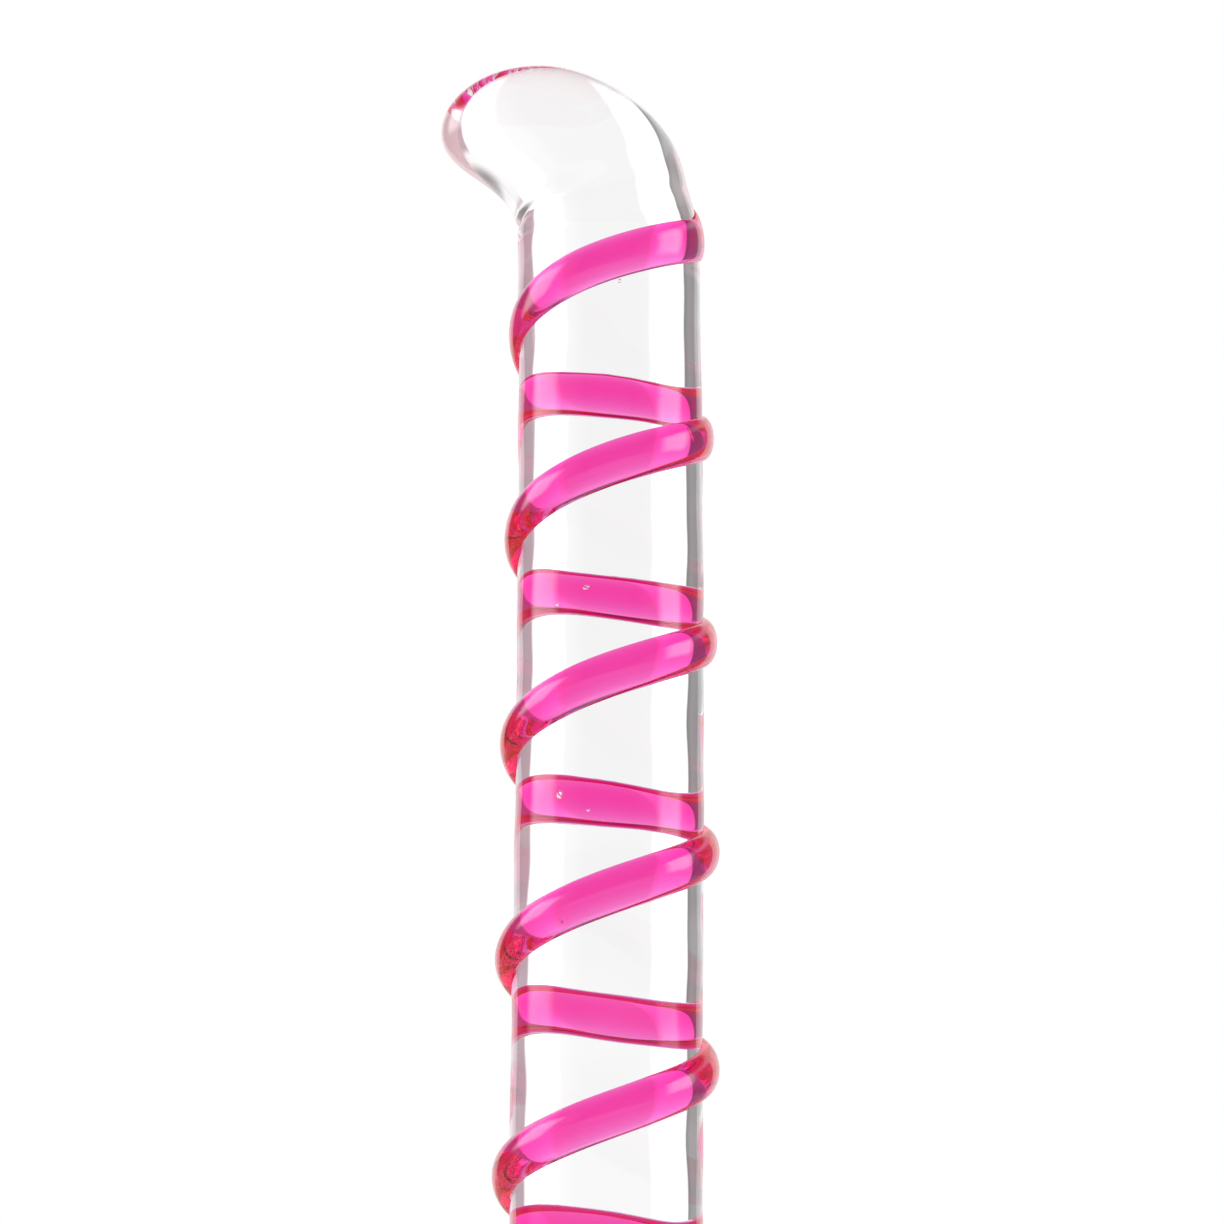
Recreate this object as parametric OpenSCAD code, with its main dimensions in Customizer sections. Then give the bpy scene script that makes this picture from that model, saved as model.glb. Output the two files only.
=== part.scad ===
// Glass dip pen: a solid glass rod with a bent head, a raised glass spiral fused
// round it, a plain grip, a bead at the joint and a twisted fluted glass nib.
// Millimetres. Z runs along the rod with the nib down; z = 0 is the middle of the
// grip, and the head turns over towards -X.

/* [Rod] */
// Diameter of the glass rod under the spiral
rod_d = 10.0; // [8:0.1:12]
// Length of rod left plain between the grip's shoulder and the spiral
rod_plain_len = 2.7; // [1:0.1:12]

/* [Bent head] */
// Angle the head turns through, from the rod to its tip
head_sweep = 119; // [100:1:124]
// Gap between the rod's side and the point that the head is bent about
head_notch = 1.35; // [1.2:0.05:3]
// Distance from that point to the head's tip
head_reach = 5.45; // [4:0.05:6]
// Height of the bend above the upper end of the spiral's centre line
head_lift = -0.45; // [-1:0.05:6]
// How far the rod's side is drawn in just above the start of the bend
head_pinch = 0.3; // [0:0.05:0.4]

/* [Spiral trail] */
// Rise of the spiral in one turn
trail_pitch = 11.36; // [9:0.01:14]
// Number of turns round the rod
trail_turns = 8; // [3:0.5:10]
// Width of the trail along the rod
trail_w = 2.5; // [1.6:0.05:3.2]
// Height of the trail above the rod, away from the head
trail_rise = 0.95; // [0.5:0.05:1.4]
// Height of the trail above the rod where it starts at the head
trail_rise_head = 0.3; // [0.1:0.05:0.5]
// Direction the trail's ends face, measured from +X towards +Y
trail_end_angle = 30; // [-90:1:90]

/* [Grip and neck] */
// How much slimmer the grip is than the rod, across the diameter
grip_waist = 0.5; // [0.2:0.1:1.2]
// Length of the plain grip
grip_len = 24; // [16:0.5:34]
// Length of the shoulder between grip and rod
shoulder_len = 2; // [1:0.1:5]
// How much slimmer the neck is than the grip, across the diameter
neck_waist = 2; // [1.9:0.1:3]
// Length of the taper from grip to neck
neck_taper_len = 5; // [3:0.1:8]
// Length of the straight neck
neck_len = 5; // [4:0.1:8]

/* [Bead at the joint] */
// Width of the bead along the rod
bead_w = 2.2; // [1.4:0.1:2.6]
// Height of the bead above the neck
bead_rise = 0.7; // [0.4:0.05:0.9]

/* [Nib] */
// Length of the fluted nib below the neck
nib_len = 30; // [20:0.5:36]
// How much slimmer the nib's top is than the neck, across the diameter
nib_waist = 0.9; // [0.7:0.1:1.4]
// Diameter of the nib's rounded tip
nib_tip_d = 0.7; // [0.5:0.05:1.2]
// Number of flutes
flute_count = 10; // [6:1:10]
// Depth of the flutes as a share of the nib's radius
flute_depth = 0.3; // [0.15:0.01:0.36]
// Angle the flutes twist through from neck to tip
flute_twist = 200; // [0:5:300]
// Thickness of glass round the socket that takes the nib's shank
socket_wall = 1.3; // [1:0.1:1.6]
// Length of the shank
shank_len = 9; // [5:0.5:10]

/* [Fits] */
// Radial gap between the shank and its socket
shank_fit = 0.05; // [0.02:0.01:0.15]
// Radial gap between the glass laid on the rod and the rod
fuse_fit = 0.01; // [0.01:0.01:0.06]

/* [Hidden] */
rod_r = rod_d / 2;
grip_r = rod_r - grip_waist / 2;
neck_r = grip_r - neck_waist / 2;
nib_r = neck_r - nib_waist / 2;
nib_tip_r = nib_tip_d / 2;
socket_r = neck_r - socket_wall;
shank_r = socket_r - shank_fit;
socket_depth = shank_len + 0.2;
end_chamfer = 0.3;
grip_top = grip_len / 2;
grip_bottom = -grip_len / 2;
shoulder_top = grip_top + shoulder_len;
neck_top = grip_bottom - neck_taper_len;
neck_end = neck_top - neck_len;
trail_bottom = shoulder_top + rod_plain_len + trail_w / 2;
trail_top = trail_bottom + trail_pitch * trail_turns;
bend_z = trail_top + head_lift;
pivot_x = -(rod_r + head_notch);
head_curl = 1.55;
pinch_up = 1.35;
pinch_len = 1;
head_rings = 30;
head_sides = 64;
trail_step = 10;
trail_rings = round(trail_turns * 360 / trail_step);
trail_seat = (rod_r + fuse_fit) / cos(trail_step / 2) - rod_r;
trail_arc = 9;
trail_back = 3;
trail_sides = trail_arc + trail_back;
trail_fade = 1.5;
trail_end_steps = 3;
trail_end_tip = 0.6;
flute_points = 6;
nib_rings = 44;
nib_sides = flute_count * flute_points;
flute_start = 0.12;

// Triangles that close a stack of rings of n points each. The flat ends fan out from one point.
function skin(rings, n, hub = 0) = concat(
    [for (i = [0 : rings - 2], j = [0 : n - 1]) [i * n + j, (i + 1) * n + j, i * n + (j + 1) % n]],
    [for (i = [0 : rings - 2], j = [0 : n - 1])
        [i * n + (j + 1) % n, (i + 1) * n + j, (i + 1) * n + (j + 1) % n]],
    [for (j = [1 : n - 2]) [hub, (hub + j) % n, (hub + j + 1) % n]],
    [for (j = [1 : n - 2]) let (far = (rings - 1) * n)
        [far + hub, far + (hub + j + 1) % n, far + (hub + j) % n]]
);

// How far the head's middle lies from the pivot, at a share of the sweep.
function head_mid(share) = -pivot_x - (-pivot_x - head_reach) * pow(share, head_curl);

// How far the rod's side is drawn in at a height along its middle.
function pinch(z) = head_pinch * exp(-pow((z - bend_z - pinch_up) / pinch_len, 2));

// A point on the rod's side, or on the head's where z is above the bend, lifted outwards.
// Above the bend, z is the height that the rod would reach if it were unbent.
function side_point(angle, z, lift) =
    let (
        turned = max(0, (z - bend_z) / -pivot_x * 180 / PI),
        share = turned / head_sweep,
        radius = rod_r * sqrt(1 - share * share) - pinch(z) * (1 - share) + lift,
        along = head_mid(share) + radius * cos(angle)
    )
    [
        turned > 0 ? pivot_x + along * cos(turned) : radius * cos(angle),
        radius * sin(angle),
        turned > 0 ? bend_z + along * sin(turned) : z
    ];

// One ring round the rod or head, at a height along its middle.
function side_ring(z, lift) =
    [for (j = [0 : head_sides - 1]) side_point(j * 360 / head_sides, z, lift)];

module bent_head() {
    head_len = -pivot_x * head_sweep * PI / 180;
    rings = concat(
        [side_ring(bend_z - 2, -0.05)],
        [for (i = [0 : head_rings]) side_ring(bend_z + head_len * sin(89.2 * i / head_rings), 0)]
    );
    polyhedron(
        points = [for (r = rings) each r],
        faces = skin(len(rings), head_sides),
        convexity = 4
    );
}

module handle_rod() {
    color("aliceblue")
    difference() {
        union() {
            translate([0, 0, shoulder_top])
            cylinder(h = bend_z - 0.5 - shoulder_top, r = rod_r, $fn = 96);
            translate([0, 0, grip_top])
            cylinder(h = shoulder_len, r1 = grip_r, r2 = rod_r, $fn = 96);
            translate([0, 0, grip_bottom])
            cylinder(h = grip_len, r = grip_r, $fn = 96);
            translate([0, 0, neck_top])
            cylinder(h = neck_taper_len, r1 = neck_r, r2 = grip_r, $fn = 96);
            translate([0, 0, neck_end + end_chamfer])
            cylinder(h = neck_len - end_chamfer, r = neck_r, $fn = 96);
            translate([0, 0, neck_end])
            cylinder(h = end_chamfer, r1 = neck_r - end_chamfer, r2 = neck_r, $fn = 96);
            bent_head();
        }
        translate([0, 0, neck_end - 1])
        cylinder(h = socket_depth + 1, r = socket_r, $fn = 96);
    }
}

// Height of the trail above the rod, at a number of turns below the head.
function trail_height(turns) =
    trail_rise - (trail_rise - trail_rise_head) * exp(-turns / trail_fade);

// Share of full size left near either end of the trail, rounded off to a blunt end.
function end_share(steps) = steps >= trail_end_steps ? 1 :
    sqrt(1 - pow(1 - (steps + trail_end_tip) / (trail_end_steps + trail_end_tip), 2));

// One ring of the trail across its path: domed outside, and along the rod's side within.
function trail_ring(i) =
    let (
        angle = trail_end_angle + i * trail_step - trail_rings * trail_step,
        z = trail_top - (trail_rings - i) * trail_step / 360 * trail_pitch,
        size = end_share(min(i, trail_rings - i)),
        rise = trail_height((trail_rings - i) * trail_step / 360) * size,
        half = trail_w / 2 * size
    )
    [
        for (k = [0 : trail_arc - 1])
            let (t = -90 + 180 * k / (trail_arc - 1))
            side_point(angle, z + half * sin(t), trail_seat + rise * cos(t)),
        for (k = [1 : trail_back])
            side_point(angle, z + half - 2 * half * k / (trail_back + 1), trail_seat)
    ];

module spiral_trail() {
    color("deeppink")
    polyhedron(
        points = [for (i = [0 : trail_rings]) each trail_ring(i)],
        faces = skin(trail_rings + 1, trail_sides, (trail_arc - 1) / 2),
        convexity = 12
    );
}

module joint_bead() {
    color("deeppink")
    translate([0, 0, neck_end + end_chamfer + bead_w / 2])
    rotate_extrude($fn = 96)
    intersection() {
        translate([neck_r + bead_rise - bead_w / 2, 0])
        circle(d = bead_w, $fn = 64);
        translate([neck_r + fuse_fit, -bead_w])
        square([bead_w, 2 * bead_w]);
    }
}

// Radius of the nib at a share of its length from neck to tip.
function nib_radius(share) = nib_r - (nib_r - nib_tip_r) * pow(share, 1.7);

// One ring of the nib, with grooves that run in from the plain top.
function nib_ring(i) =
    let (
        share = i / nib_rings,
        z = neck_end - nib_len * share,
        depth = flute_depth * min(1, share / flute_start),
        turn = flute_twist * share
    )
    [
        for (j = [0 : nib_sides - 1])
            let (
                a = 360 * j / nib_sides,
                radius = nib_radius(share) * (1 - depth * (1 - abs(sin(flute_count * a / 2))))
            )
            [radius * cos(a + turn), -radius * sin(a + turn), z]
    ];

module nib() {
    color("aliceblue")
    union() {
        polyhedron(
            points = [for (i = [0 : nib_rings]) each nib_ring(i)],
            faces = skin(nib_rings + 1, nib_sides),
            convexity = 8
        );
        translate([0, 0, neck_end - 1.5])
        cylinder(h = shank_len + 1.5, r = shank_r, $fn = 96);
    }
}

handle_rod();
spiral_trail();
joint_bead();
nib();
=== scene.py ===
"""Looks for the glass dip pen: fused clear and pink glass in a plain white studio."""

import math

import bpy
import numpy as np
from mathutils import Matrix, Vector


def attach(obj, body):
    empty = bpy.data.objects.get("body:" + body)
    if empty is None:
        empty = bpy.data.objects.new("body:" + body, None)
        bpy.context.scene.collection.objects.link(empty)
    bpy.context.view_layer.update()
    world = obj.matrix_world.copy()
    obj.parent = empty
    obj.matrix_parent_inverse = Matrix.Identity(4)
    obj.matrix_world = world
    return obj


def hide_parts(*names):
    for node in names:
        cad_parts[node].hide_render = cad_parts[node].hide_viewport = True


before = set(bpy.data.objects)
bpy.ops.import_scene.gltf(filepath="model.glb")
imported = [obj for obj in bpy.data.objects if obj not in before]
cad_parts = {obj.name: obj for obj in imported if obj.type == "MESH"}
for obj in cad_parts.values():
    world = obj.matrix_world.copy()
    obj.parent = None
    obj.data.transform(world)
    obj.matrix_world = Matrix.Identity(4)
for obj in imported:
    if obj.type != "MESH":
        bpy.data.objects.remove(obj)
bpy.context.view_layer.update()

MM = 0.001
TURN = 2 * math.pi

# Sizes in millimetres, the same as the solids'.
ROD_R = 5.0
ROD_PLAIN_LEN = 2.7
GRIP_R = 4.75
GRIP_HALF = 12.0
SHOULDER_TOP = 14.0
NECK_R = 3.75
NECK_TOP = -17.0
NECK_END = -22.0
END_CHAMFER = 0.3
NIB_R = 3.3
NIB_TIP_R = 0.35
NIB_LEN = 30.0
NIB_TAPER = 1.7
FLUTES = 10
FLUTE_DEPTH = 0.3
FLUTE_TWIST = math.radians(200)
BEAD_W = 2.2
BEAD_RISE = 0.7
PITCH = 11.36
TRAIL_TURNS = 8
TRAIL_W = 2.5
TRAIL_RISE = 0.95
TRAIL_RISE_HEAD = 0.3
TRAIL_FADE = 1.5
TRAIL_END = math.radians(30)
TRAIL_END_ROUND = math.radians(30)
TRAIL_BOTTOM = SHOULDER_TOP + ROD_PLAIN_LEN + TRAIL_W / 2
TRAIL_TOP = TRAIL_BOTTOM + PITCH * TRAIL_TURNS
BEND_Z = TRAIL_TOP - 0.45
PIVOT = ROD_R + 1.35
HEAD_SWEEP = math.radians(119)
HEAD_REACH = 5.45
HEAD_CURL = 1.55
HEAD_PINCH = 0.3
PINCH_UP = 1.35
PINCH_LEN = 1.0
FLOOR_Z = NECK_END - NIB_LEN

# The colour inside the spiral: its thickness, and its gap under the skin, in millimetres.
CORE_THICK = 1.05
CORE_INSET = 0.025

# The mesh: columns in a turn, steps in a millimetre when points are merged, rows between
# two passes, and the heights where plain rings take over.
COLS = 180
MERGE = 20000
GAP_ROWS = 12
CAP_ROWS = 10
HEAD_ROWS = 90
RING_HIGH = BEND_Z + 3.0
RING_LOW = SHOULDER_TOP + 1.0

# The glass. Light turned back more often than this inside it ends in a painted glow: an
# emission of fixed colour that stands in for the light it would still carry.
GLASS_IOR = 1.47
ROD_TURNS = 9.5
HEAD_TURNS = 1.5
ROD_PAINTED_GLOW = (0.70, 0.66, 0.67)
HEAD_PAINTED_GLOW = (0.70, 0.48, 0.51)
# The head, whose painted glow is pinker, is what lies past these heights or this far to the
# side: axis, start, end.
HEAD_PART = (("Z", BEND_Z + 2, BEND_Z + 4), ("X", -ROD_R - 1.2, -ROD_R - 2.2))

# Heights of the bubbles caught in the glass, in millimetres.
BUBBLE_Z = (104.2, 96.2, 88.1, 86.9, 76.4, 75.7, 70.9, 58.0, 45.5, 33.2, 21.0, 5.5, -6.0)

# The studio: brightness by compass in degrees, with 0 straight ahead of the camera.
WHITE = 1.3
GREY = 0.955
SIDE = 0.8
BELOW = 0.95
ABOVE = 1.05
REAR = 0.2
ZENITH = 0.2
BLUSH = (0.54, 0.38, 0.43)
AHEAD = (
    (-42, WHITE),
    (-20, WHITE),
    (-17, GREY),
    (10, GREY),
    (19, 1.0),
    (22, WHITE),
    (43, WHITE),
)
LEFT = ((-43, 0.22), (-48, 0.32), (-68, 0.26), (-84, SIDE), (-120, SIDE))
RIGHT = ((44, BLUSH), (70, BLUSH), (84, SIDE), (120, SIDE))

# The panels: how far off, their lower and upper edges in metres, and their soft border.
PANEL_FAR = 0.8
PANEL_LOW = 0.05
PANEL_HIGH = 0.75
PANEL_AIM = (0, 0, 0.07)
PANEL_LIGHT = 4.2
PANEL_SOFT = 0.3

# The floor: its colour, and the distances in metres over which it fades out.
FLOOR_COLOUR = (0.84, 0.84, 0.835)
FLOOR_R = 2.0
FLOOR_FADE = (0.25, 0.9)

# The camera stands a little below the bend and looks up along the rod, in millimetres.
LOOK = (0.19, 0.0, 86.81)
CAMERA_FAR = 174.7
CAMERA_RISE = math.radians(13)
CAMERA_LENS = 95.6
BOUNCES = 32


def melt(a, v):
    """Small unevenness of the drawn glass, in millimetres."""
    return (
        0.012 * np.sin(TURN * v / 23.0 + a)
        + 0.010 * np.sin(TURN * v / 9.7 + 2 * a + 1.0)
        + 0.014 * np.sin(TURN * v / 5.9 - 3 * a + 2.0)
        + 0.014 * np.sin(TURN * v / 7.3 + 4 * a + 0.5)
        + 0.008 * np.sin(TURN * v / 3.7 - 5 * a + 4.0)
    )


def ease(t):
    """A smooth step from 0 to 1."""
    t = np.clip(t, 0, 1)
    return t * t * (3 - 2 * t)


def bow(z):
    """How far the rod bends off its axis by hand, in millimetres."""
    return 0.11 * np.cos(TURN * (z - 89.8) / 72.0) * np.clip((z - 30) / 20, 0, 1)


def surface(a, v, lift):
    """Points on the rod at angle a and height v, lifted outwards.

    Heights past the bend run on along the head.
    """
    a, v, lift = np.broadcast_arrays(a, v, lift)
    share = np.clip((v - BEND_Z) / PIVOT / HEAD_SWEEP, 0, 1)
    turned = share * HEAD_SWEEP
    radius = ROD_R * np.sqrt(1 - share**2)
    pinch = HEAD_PINCH * np.exp(-(((v - BEND_Z - PINCH_UP) / PINCH_LEN) ** 2))
    radius = radius + lift + (melt(a, v) - pinch) * (1 - share)
    middle = PIVOT - (PIVOT - HEAD_REACH) * share**HEAD_CURL
    along = middle + radius * np.cos(a)
    x = np.where(share > 0, -PIVOT + along * np.cos(turned), radius * np.cos(a))
    z = np.where(share > 0, BEND_Z + along * np.sin(turned), v)
    x = x + bow(z)
    return np.stack([x, radius * np.sin(a), z], -1)


def make(name, grids, material, node, flip=False):
    """One smooth piece from grids of points, which stands for a CAD node.

    Rows run upwards and columns anticlockwise. Points that meet are merged.
    """
    points, quads, start = [], [], 0
    for g in grids:
        rows, cols = g.shape[:2]
        at = start + np.arange(rows * cols).reshape(rows, cols)
        quads.append(
            np.stack(
                [at[:-1, :-1], at[:-1, 1:], at[1:, 1:], at[1:, :-1]], -1
            ).reshape(-1, 4)
        )
        points.append(g.reshape(-1, 3))
        start += rows * cols
    points, quads = np.concatenate(points), np.concatenate(quads)
    _, first, back = np.unique(
        np.round(points * MERGE).astype(np.int64),
        axis=0,
        return_index=True,
        return_inverse=True,
    )
    points, quads = points[first], back.reshape(-1)[quads]
    faces = []
    for q in quads.tolist():
        f = [q[i] for i in range(4) if q[i] != q[i - 1]]
        if len(set(f)) == len(f) >= 3:
            faces.append(f[::-1] if flip else f)
    mesh = bpy.data.meshes.new(name)
    mesh.from_pydata((points * MM).tolist(), [], faces)
    mesh.polygons.foreach_set("use_smooth", [True] * len(mesh.polygons))
    mesh.materials.append(material)
    mesh.update()
    ob = bpy.data.objects.new(name, mesh)
    bpy.context.scene.collection.objects.link(ob)
    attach(ob, "root")
    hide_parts(node)
    return ob


# Materials


def set_inputs(node, **values):
    """Sets a node's inputs by name, with _ for a space. A colour is given as three numbers."""
    for name, value in values.items():
        value = (*value, 1) if isinstance(value, tuple) else value
        node.inputs[name.replace("_", " ")].default_value = value
    return node


def maths(tree, operation, *inputs):
    """A Math node fed by sockets or plain numbers. Returns its output."""
    node = tree.nodes.new("ShaderNodeMath")
    node.operation = operation
    for slot, value in enumerate(inputs):
        if isinstance(value, (int, float)):
            node.inputs[slot].default_value = value
        else:
            tree.links.new(value, node.inputs[slot])
    return node.outputs[0]


def mapped(tree, value, smooth=False, **ends):
    """A Map Range node over value. Returns its output."""
    node = set_inputs(tree.nodes.new("ShaderNodeMapRange"), **ends)
    if smooth:
        node.interpolation_type = "SMOOTHSTEP"
    tree.links.new(value, node.inputs["Value"])
    return node.outputs["Result"]


def split_axes(tree, vector):
    """The outputs X, Y and Z of a vector."""
    node = tree.nodes.new("ShaderNodeSeparateXYZ")
    tree.links.new(vector, node.inputs[0])
    return node.outputs


def mixed_shader(tree, share, first, second):
    """first where share is 0, and second where it is 1. Returns the output."""
    node = tree.nodes.new("ShaderNodeMixShader")
    tree.links.new(share, node.inputs["Fac"])
    tree.links.new(first, node.inputs[1])
    tree.links.new(second, node.inputs[2])
    return node.outputs["Shader"]


def mixed_colour(tree, share, first, second):
    """first where share is 0, and second where it is 1. Each is a socket or three numbers."""
    node = tree.nodes.new("ShaderNodeMix")
    node.data_type = "RGBA"
    tree.links.new(share, node.inputs["Factor"])
    for name, colour in (("A", first), ("B", second)):
        if isinstance(colour, tuple):
            node.inputs[name].default_value = (*colour, 1)
        else:
            tree.links.new(colour, node.inputs[name])
    return node.outputs["Result"]


def new_material(name):
    material = bpy.data.materials.new(name)
    material.use_nodes = True
    return material, material.node_tree


def glass(name, tint, ior):
    """Clear, fire-polished glass with a faint tint where light crosses its surface.

    Light that has been turned back often inside it ends in a painted glow of fixed colour, a
    stand-in for the light it would carry on.
    """
    material, tree = new_material(name)
    nodes, links = tree.nodes, tree.links
    skin = set_inputs(
        nodes["Principled BSDF"],
        Base_Color=tint,
        Roughness=0.0,
        IOR=ior,
        Transmission_Weight=1.0,
    )
    path = nodes.new("ShaderNodeLightPath")
    place = split_axes(tree, nodes.new("ShaderNodeTexCoord").outputs["Object"])
    parts = [
        mapped(tree, place[axis], From_Min=start * MM, From_Max=end * MM)
        for axis, start, end in HEAD_PART
    ]
    in_head = maths(tree, "MAXIMUM", *parts)
    most = mapped(tree, in_head, To_Min=ROD_TURNS, To_Max=HEAD_TURNS)
    deep = maths(tree, "GREATER_THAN", path.outputs["Ray Depth"], most)
    # Painted glow: an emission that stands in for light on deep paths, pinker in the head.
    painted_glow = nodes.new("ShaderNodeEmission")
    links.new(mixed_colour(tree, in_head, ROD_PAINTED_GLOW, HEAD_PAINTED_GLOW), painted_glow.inputs["Color"])
    shown = mixed_shader(tree, deep, skin.outputs["BSDF"], painted_glow.outputs["Emission"])
    links.new(shown, nodes["Material Output"].inputs["Surface"])
    return material


def stained(name, colour, density):
    """Colour inside fused glass: it takes light away along its depth and bends none."""
    material, tree = new_material(name)
    nodes, links = tree.nodes, tree.links
    nodes.clear()
    out = nodes.new("ShaderNodeOutputMaterial")
    through = set_inputs(
        nodes.new("ShaderNodeBsdfRefraction"), Color=(1, 1, 1), Roughness=0.0, IOR=1.0
    )
    take = set_inputs(
        nodes.new("ShaderNodeVolumeAbsorption"), Color=colour, Density=density
    )
    links.new(through.outputs["BSDF"], out.inputs["Surface"])
    links.new(take.outputs["Volume"], out.inputs["Volume"])
    return material


clear = glass("clear_glass", (1, 1, 1), GLASS_IOR)
pink_skin = glass("pink_glass_skin", (1.0, 0.62, 0.86), GLASS_IOR)
pink_core = stained("pink_glass_core", (0.99, 0.06, 0.715), 2930.0)


# The spiral: its path, width and height


def path(phi):
    """Height of the spiral's middle at an unwrapped angle."""
    return TRAIL_TOP + PITCH * (phi - TRAIL_END) / TURN


def end_share(phi):
    """Share of the full size left near either end, rounded off."""
    far = np.minimum(TRAIL_END - phi, phi - TRAIL_START) / TRAIL_END_ROUND
    return np.sqrt(1 - (1 - np.clip(far, 0, 1)) ** 2)


def half_width(phi):
    """Half the spiral's width."""
    return TRAIL_W / 2 * end_share(phi)


def rise(phi):
    """Height of the spiral above the rod, which grows away from the head."""
    below = (TRAIL_END - phi) / TURN
    full = TRAIL_RISE - (TRAIL_RISE - TRAIL_RISE_HEAD) * np.exp(-below / TRAIL_FADE)
    return full * end_share(phi)


TRAIL_START = TRAIL_END - TURN * TRAIL_TURNS
phi = TRAIL_START + TURN * np.arange(COLS * TRAIL_TURNS + 1) / COLS
top_edge = path(phi) + half_width(phi)
low_edge = path(phi) - half_width(phi)

# The rod's skin, left open under the spiral, which closes it


def between(low, high, rows):
    """Heights from low to high, one row at a time."""
    t = np.linspace(0, 1, rows + 1)[:, None]
    return low * (1 - t) + high * t


ribbon_cols = COLS * (TRAIL_TURNS - 1) + 1
ribbon = surface(
    phi[:ribbon_cols],
    between(top_edge[:ribbon_cols], low_edge[COLS:], GAP_ROWS),
    0.0,
)

last = slice(COLS * (TRAIL_TURNS - 1), COLS * TRAIL_TURNS + 1)
share = np.linspace(0, 1, COLS + 1)
wedge_top = top_edge[last] + (TRAIL_TOP - top_edge[last][0]) * (1 - share)
above = [
    surface(phi[last], between(top_edge[last], wedge_top, GAP_ROWS), 0.0),
    surface(phi[last], between(wedge_top, RING_HIGH + 0 * share, CAP_ROWS), 0.0),
]
start_psi = math.asin((RING_HIGH - BEND_Z) / PIVOT / HEAD_SWEEP)
psi = np.linspace(start_psi, math.pi / 2, HEAD_ROWS)[:, None]
head = surface(phi[last], BEND_Z + PIVOT * HEAD_SWEEP * np.sin(psi), 0.0)

first = slice(0, COLS + 1)
wedge_low = low_edge[first] - (low_edge[COLS] - TRAIL_BOTTOM) * share
below = [
    surface(phi[first], between(wedge_low, low_edge[first], GAP_ROWS), 0.0),
    surface(phi[first], between(RING_LOW + 0 * share, wedge_low, CAP_ROWS), 0.0),
]


def body_r(z):
    """Radius of the rod below the spiral: shoulder, grip, taper and neck."""
    r = GRIP_R + (ROD_R - GRIP_R) * ease((z - GRIP_HALF) / (SHOULDER_TOP - GRIP_HALF))
    taper = ease((z - NECK_TOP) / (-GRIP_HALF - NECK_TOP))
    return np.where(z < -GRIP_HALF, NECK_R + (GRIP_R - NECK_R) * taper, r)


bead_mid = NECK_END + END_CHAMFER + BEAD_W / 2
bead_centre = NECK_R + BEAD_RISE - BEAD_W / 2
bead_half = math.sqrt((BEAD_W / 2) ** 2 - (NECK_R - bead_centre) ** 2)
around = phi[first]


def spun(z, r):
    """A turned stretch of the rod that shares its columns with the spiral."""
    z, r = np.asarray(z)[:, None], np.asarray(r)[:, None]
    r = r + melt(around, z) * np.clip((z - NECK_TOP) / 10, 0, 1)
    return np.stack(
        [r * np.cos(around) + bow(z), r * np.sin(around), z + 0 * around], -1
    )


z_body = np.concatenate(
    [
        np.linspace(bead_mid + bead_half, NECK_TOP, 8)[:-1],
        np.linspace(NECK_TOP, -GRIP_HALF, 16)[:-1],
        np.linspace(-GRIP_HALF, GRIP_HALF, 24)[:-1],
        np.linspace(GRIP_HALF, SHOULDER_TOP, 10)[:-1],
        [SHOULDER_TOP, RING_LOW],
    ]
)
edge = np.linspace(0, math.pi / 2, 7)
z_end = np.concatenate(
    [NECK_END + END_CHAMFER * (1 - np.cos(edge)), [bead_mid - bead_half]]
)
r_end = np.concatenate(
    [NECK_R - END_CHAMFER + END_CHAMFER * np.sin(edge), [NECK_R]]
)
rim = spun([NECK_END, NECK_END], [NIB_R, NECK_R - END_CHAMFER])
make(
    "rod_glass",
    [
        ribbon,
        *above,
        head,
        *below,
        spun(z_body, body_r(z_body)),
        spun(z_end, r_end),
        rim,
    ],
    clear,
    "handle_rod",
)

# The spiral's domed skin and the colour inside it

dome = np.linspace(-math.pi / 2, math.pi / 2, 29)[:, None]
make(
    "trail_glass",
    [
        surface(
            phi,
            path(phi) + half_width(phi) * np.sin(dome),
            rise(phi) * np.cos(dome),
        )
    ],
    pink_skin,
    "spiral_trail",
)

# Round the core's section: outwards where cos(loop) > 0, and deeper on its upper side.
loop = np.linspace(-math.pi / 2, 1.5 * math.pi, 49)[:, None]
up_side = (1 + np.sin(loop)) / 2
full = end_share(phi)
out_rise = np.clip(rise(phi) - CORE_INSET, 0, None) * (0.65 + 0.35 * up_side)
sunk = (CORE_THICK - rise(phi)) * (0.6 + 0.4 * up_side) + 0.25 * up_side**2
sunk = sunk * full
core_half = np.clip(half_width(phi) - CORE_INSET, 0, None)
lift = np.where(np.cos(loop) > 0, out_rise, sunk) * np.cos(loop)
lift = lift - CORE_INSET * (full > 0)
make(
    "trail_colour",
    [surface(phi, path(phi) + core_half * np.sin(loop), lift)],
    pink_core,
    "spiral_trail",
)

# The bead at the joint

swing = math.asin(bead_half / (BEAD_W / 2))
t = np.linspace(-swing, swing, 25)
make(
    "bead_glass",
    [
        spun(
            bead_mid + BEAD_W / 2 * np.sin(t),
            bead_centre + BEAD_W / 2 * np.cos(t),
        )
    ],
    pink_skin,
    "joint_bead",
)
t = np.linspace(-math.pi, math.pi, 41)
make(
    "bead_colour",
    [
        spun(
            bead_mid + (bead_half - 0.05) * np.sin(t),
            NECK_R - 0.1 + (BEAD_RISE + 0.05) * np.cos(t),
        )
    ],
    pink_core,
    "joint_bead",
)

# The twisted, fluted nib

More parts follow.
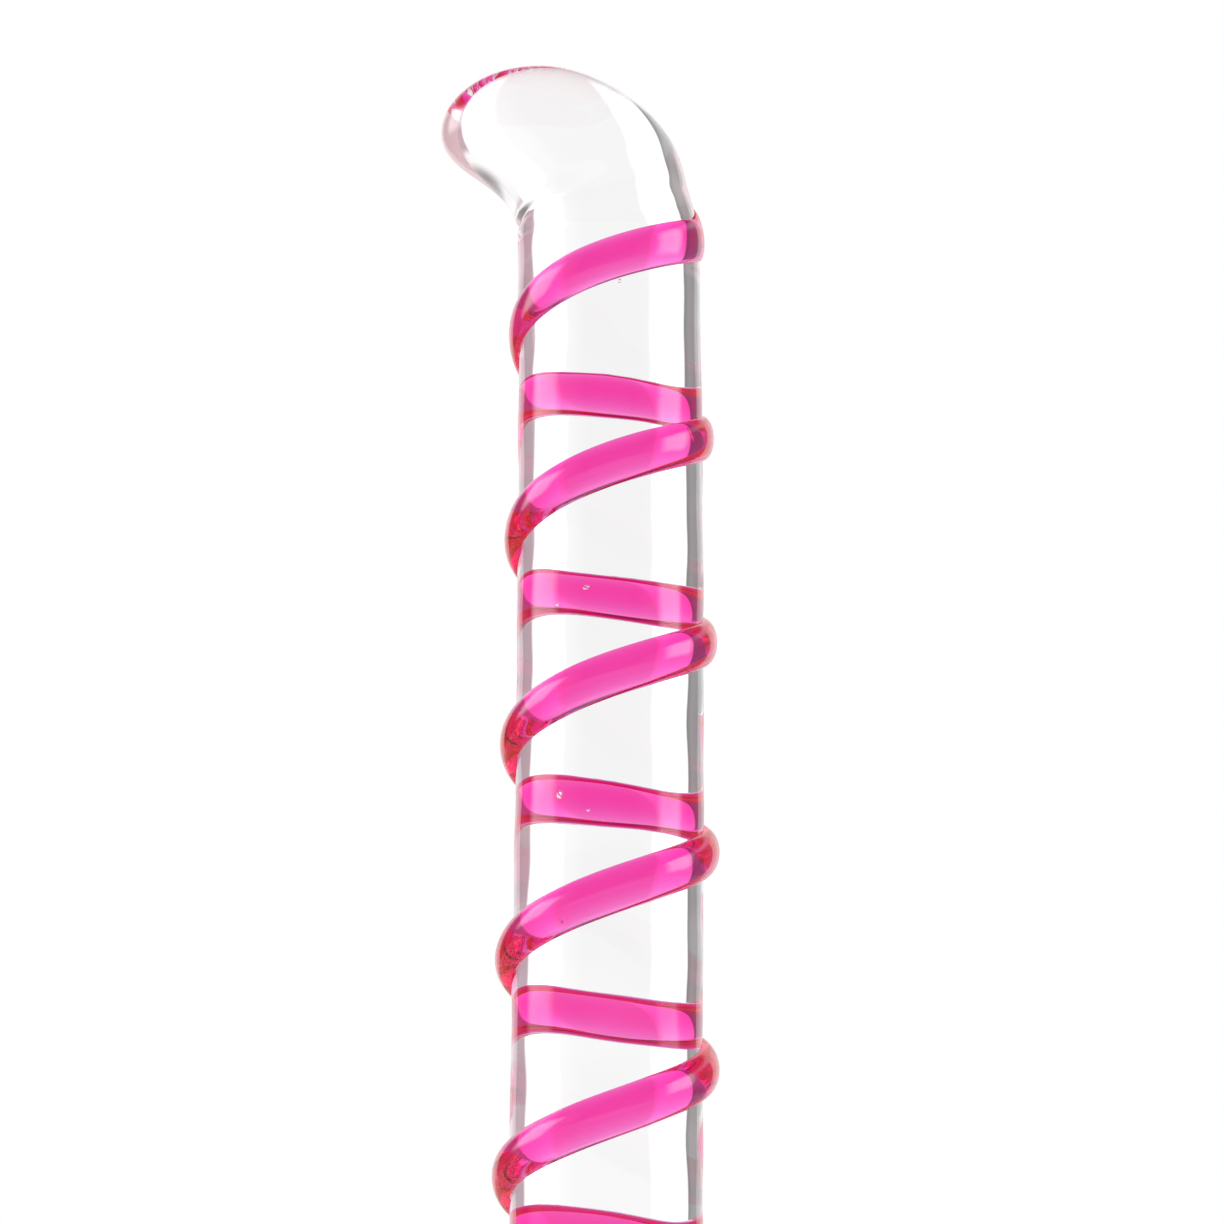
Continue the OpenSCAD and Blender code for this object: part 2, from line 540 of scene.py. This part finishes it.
nib_share = np.concatenate([np.linspace(0, 0.985, 260), np.linspace(0.985, 1, 24)[1:]])
nib_share = nib_share[::-1, None]
turn = -FLUTE_TWIST * nib_share
nib_a = np.arange(FLUTES * 36 + 1) * TURN / (FLUTES * 36)
groove = 1 - np.sqrt(np.sin(FLUTES * nib_a / 2) ** 2 + 0.004)
depth = FLUTE_DEPTH * ease(nib_share / 0.14)
nib_r = NIB_R - (NIB_R - NIB_TIP_R) * nib_share**NIB_TAPER
left = np.clip((1 - nib_share) * NIB_LEN / NIB_TIP_R, 0, 1)
nib_r = nib_r * np.sqrt(1 - (1 - left) ** 2)
nib_r = nib_r * (1 - depth * groove)
make(
    "nib_glass",
    [
        np.stack(
            [
                nib_r * np.cos(nib_a + turn),
                nib_r * np.sin(nib_a + turn),
                NECK_END - NIB_LEN * nib_share + 0 * nib_a,
            ],
            -1,
        )
    ],
    clear,
    "nib",
)

# Small bubbles caught in the glass, as hollows with their skin turned inwards

rng = np.random.default_rng(7)
ball_a = np.linspace(0, TURN, 17)
ball_b = np.linspace(-math.pi / 2, math.pi / 2, 11)[:, None]
bubbles = []
for z in BUBBLE_Z:
    size = rng.uniform(0.05, 0.13)
    far, way = rng.uniform(0.5, 3.6), rng.uniform(0, TURN)
    long = rng.uniform(1.0, 1.8)
    bubbles.append(
        np.stack(
            [
                far * math.cos(way) + size * np.cos(ball_b) * np.cos(ball_a),
                far * math.sin(way) + size * np.cos(ball_b) * np.sin(ball_a),
                z + long * size * np.sin(ball_b) + 0 * ball_a,
            ],
            -1,
        )
    )
make("rod_bubbles", bubbles, clear, "handle_rod", flip=True)


# The studio: a pale floor, a bright field behind and to the sides, and two soft panels


def pale_floor():
    """A matt floor that fades out into the white background."""
    material, tree = new_material("pale_floor")
    nodes, links = tree.nodes, tree.links
    top = set_inputs(
        nodes["Principled BSDF"],
        Base_Color=FLOOR_COLOUR,
        Roughness=0.8,
        Specular_IOR_Level=0.2,
    )
    off = nodes.new("ShaderNodeVectorMath")
    off.operation = "LENGTH"
    links.new(nodes.new("ShaderNodeTexCoord").outputs["Object"], off.inputs[0])
    start, end = FLOOR_FADE
    fade = mapped(tree, off.outputs["Value"], True, From_Min=start, From_Max=end)
    none = nodes.new("ShaderNodeBsdfTransparent")
    shown = mixed_shader(tree, fade, top.outputs["BSDF"], none.outputs["BSDF"])
    links.new(shown, nodes["Material Output"].inputs["Surface"])
    return material


bpy.ops.mesh.primitive_circle_add(
    vertices=96, radius=FLOOR_R, fill_type="NGON", location=(0, 0, FLOOR_Z * MM)
)
floor = bpy.context.object
floor.name = "floor"
floor.data.materials.append(pale_floor())
floor.visible_transmission = False


def grey(value):
    """A brightness as a colour."""
    return value if isinstance(value, tuple) else (value, value, value)


def studio_world():
    """White to the camera. To light, a field that changes with the compass and the height."""
    world = bpy.data.worlds.new("studio")
    bpy.context.scene.world = world
    world.use_nodes = True
    tree = world.node_tree
    nodes, links = tree.nodes, tree.links
    nodes.clear()
    way = split_axes(tree, nodes.new("ShaderNodeTexCoord").outputs["Generated"])
    compass = maths(tree, "ARCTAN2", way["X"], way["Y"])
    turn = mapped(tree, compass, From_Min=-math.pi, From_Max=math.pi)

    def field(*stops):
        """Brightness by compass angle in degrees, from -180 to 180."""
        ramp = nodes.new("ShaderNodeValToRGB")
        links.new(turn, ramp.inputs["Fac"])
        items = ramp.color_ramp.elements
        while len(items) < len(stops):
            items.new(0.5)
        stops = sorted(stops, key=lambda stop: stop[0])
        for item, (degrees, value) in zip(items, stops):
            item.position = degrees / 360 + 0.5
            item.color = (*grey(value), 1)
        return ramp.outputs["Color"]

    def blend(lower, upper, start, end):
        """lower at elevations up to start degrees, upper from end degrees."""
        low, high = math.sin(math.radians(start)), math.sin(math.radians(end))
        share = mapped(tree, way["Z"], True, From_Min=low, From_Max=high)
        return mixed_colour(tree, share, lower, upper)

    level = field(*AHEAD, *LEFT, *RIGHT)
    raised = field(*AHEAD, *LEFT, *RIGHT, (-150, REAR), (150, REAR))
    above = field((-100, ABOVE), (100, ABOVE), (-140, REAR), (140, REAR))
    low = blend(grey(BELOW), level, -38, -24)
    high = blend(raised, above, 28, 34)
    sky = blend(blend(low, high, 4, 10), grey(ZENITH), 37, 46)
    lit = nodes.new("ShaderNodeBackground")
    links.new(sky, lit.inputs["Color"])
    plain = set_inputs(nodes.new("ShaderNodeBackground"), Color=(1, 1, 1), Strength=1.0)
    seen = nodes.new("ShaderNodeLightPath").outputs["Is Camera Ray"]
    out = nodes.new("ShaderNodeOutputWorld")
    shown = mixed_shader(
        tree, seen, lit.outputs["Background"], plain.outputs["Background"]
    )
    links.new(shown, out.inputs["Surface"])


studio_world()


def aim(ob, target):
    """Turns ob so that its -Z points at the target."""
    way = Vector(target) - ob.location
    ob.rotation_mode = "QUATERNION"
    ob.rotation_quaternion = way.to_track_quat("-Z", "Y")


def soft_edges(tree):
    """Lets a panel's light fall off towards its border."""
    place = tree.nodes.new("ShaderNodeNewGeometry")
    sides = split_axes(tree, place.outputs["Parametric"])
    falls = []
    for axis in ("X", "Y"):
        off = maths(tree, "ABSOLUTE", maths(tree, "SUBTRACT", sides[axis], 0.5))
        falls.append(mapped(tree, off, True, From_Min=0.5, From_Max=0.5 - PANEL_SOFT))
    share = maths(tree, "MULTIPLY", *falls)
    tree.links.new(share, tree.nodes["Emission"].inputs["Strength"])


def softbox(name, compass, spread):
    """A soft panel that faces the pen, by its compass angle and its width in degrees."""
    data = bpy.data.lights.new(name, "AREA")
    data.shape = "RECTANGLE"
    data.size = 2 * PANEL_FAR * math.tan(math.radians(spread / 2))
    data.size_y = PANEL_HIGH - PANEL_LOW
    data.energy = PANEL_LIGHT * math.pi * data.size * data.size_y
    data.use_nodes = True
    soft_edges(data.node_tree)
    ob = bpy.data.objects.new(name, data)
    bpy.context.scene.collection.objects.link(ob)
    a = math.radians(compass)
    middle = (PANEL_LOW + PANEL_HIGH) / 2
    ob.location = (PANEL_FAR * math.sin(a), PANEL_FAR * math.cos(a), middle)
    aim(ob, PANEL_AIM)
    ob.visible_camera = False
    ob.visible_transmission = False


softbox("left_panel", -91, 56)
softbox("right_panel", 101, 46)

cam_data = bpy.data.cameras.new("camera")
cam_data.sensor_width = 36.0
cam_data.lens = CAMERA_LENS
cam_data.clip_start = 0.01
cam_data.clip_end = 10.0
camera = bpy.data.objects.new("camera", cam_data)
scene = bpy.context.scene
scene.collection.objects.link(camera)
camera.location = (
    LOOK[0] * MM,
    -CAMERA_FAR * math.cos(CAMERA_RISE) * MM,
    (LOOK[2] - CAMERA_FAR * math.sin(CAMERA_RISE)) * MM,
)
aim(camera, [v * MM for v in LOOK])
scene.camera = camera

scene.view_settings.view_transform = "Standard"
scene.view_settings.look = "None"
scene.cycles.max_bounces = BOUNCES
scene.cycles.transmission_bounces = BOUNCES
scene.cycles.glossy_bounces = BOUNCES
scene.cycles.transparent_max_bounces = BOUNCES
scene.cycles.sample_clamp_indirect = 8.0
